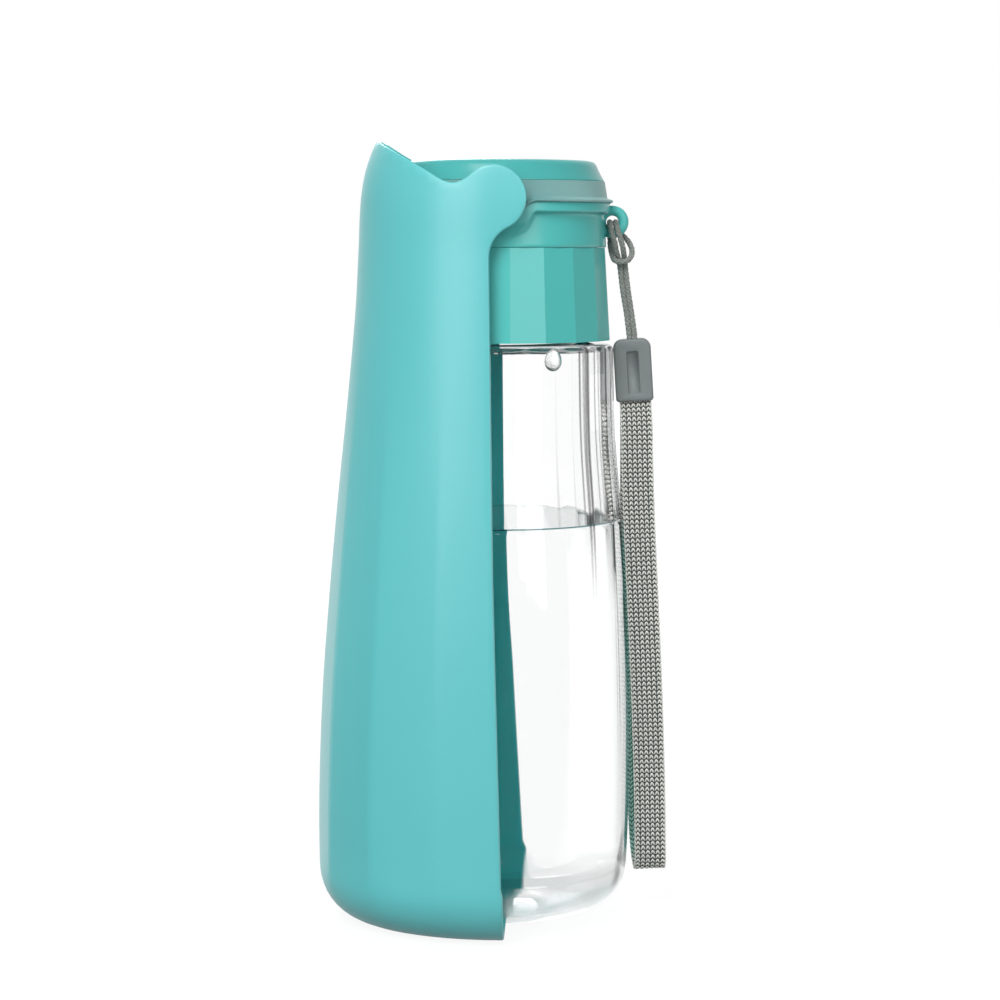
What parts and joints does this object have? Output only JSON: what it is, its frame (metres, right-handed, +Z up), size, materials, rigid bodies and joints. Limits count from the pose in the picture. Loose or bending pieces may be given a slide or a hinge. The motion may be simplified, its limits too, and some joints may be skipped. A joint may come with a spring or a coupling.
{
  "type": "dog travel water bottle",
  "caption": "Clear travel water bottle for a dog with a fold-out drinking trough, a head that turns to open a valve, a faceted screw ring and a wrist strap.",
  "frame": {"origin": "on the table under the bottle's axis, on the trough's flat end", "axes": "+Z up along the bottle, -X towards the trough's front, +X towards the wrist strap, Y along the trough's hinge"},
  "size_m": [0.0983, 0.0812, 0.2174],
  "materials": {
    "teal_plastic": "satin moulded polypropylene",
    "teal_head_plastic": "satin moulded plastic",
    "silicone": "matt translucent silicone",
    "white_plastic": "smooth",
    "clear_bottle": "clear polished plastic",
    "grey_cord": "braided polyester",
    "grey_webbing": "knitted polyester",
    "grey_plastic": "satin"
  },
  "bodies": {
    "head": {"head_shell": "teal_head_plastic", "outlet_cap": "teal_head_plastic", "seal_band": "silicone", "valve_rotor": "white_plastic"},
    "trough": {"trough": "teal_plastic"},
    "ring": {"screw_ring": "teal_head_plastic", "port_seals": "silicone", "journal_o_ring": "silicone"},
    "gasket": {"neck_gasket": "silicone"},
    "bottle": {"bottle": "clear_bottle"},
    "strap": {"strap_cord": "grey_cord", "strap_webbing": "grey_webbing", "clip_front": "grey_plastic", "clip_back": "grey_plastic"}
  },
  "joints": [
    {"name": "trough_fold", "type": "hinge", "parent": "head", "child": "trough", "pos_m": [0, 0, 0.2016], "axis": [0, 1, 0], "range_deg": [0, 155]},
    {"name": "head_twist", "type": "hinge", "parent": "head", "child": "ring", "pos_m": [0, 0, 0.18], "axis": [0, 0, 1], "range_deg": [0, 90]},
    {"name": "cap_turn", "type": "hinge", "parent": "ring", "child": "gasket", "pos_m": [0, 0, 0.18], "axis": [0, 0, -1], "range_deg": [0, 180]},
    {"name": "cap_rise", "type": "slide", "parent": "gasket", "child": "bottle", "axis": [0, 0, -1], "range_m": [0, 0.0015]},
    {"name": "strap_swing", "type": "hinge", "parent": "head", "child": "strap", "pos_m": [0.0316, 0, 0.1956], "axis": [0, -1, 0], "range_deg": [0, 80]}
  ],
  "couplings": [
    {"joint": "cap_rise", "follows": "cap_turn", "m_per_rad": 0.00047746}
  ]
}
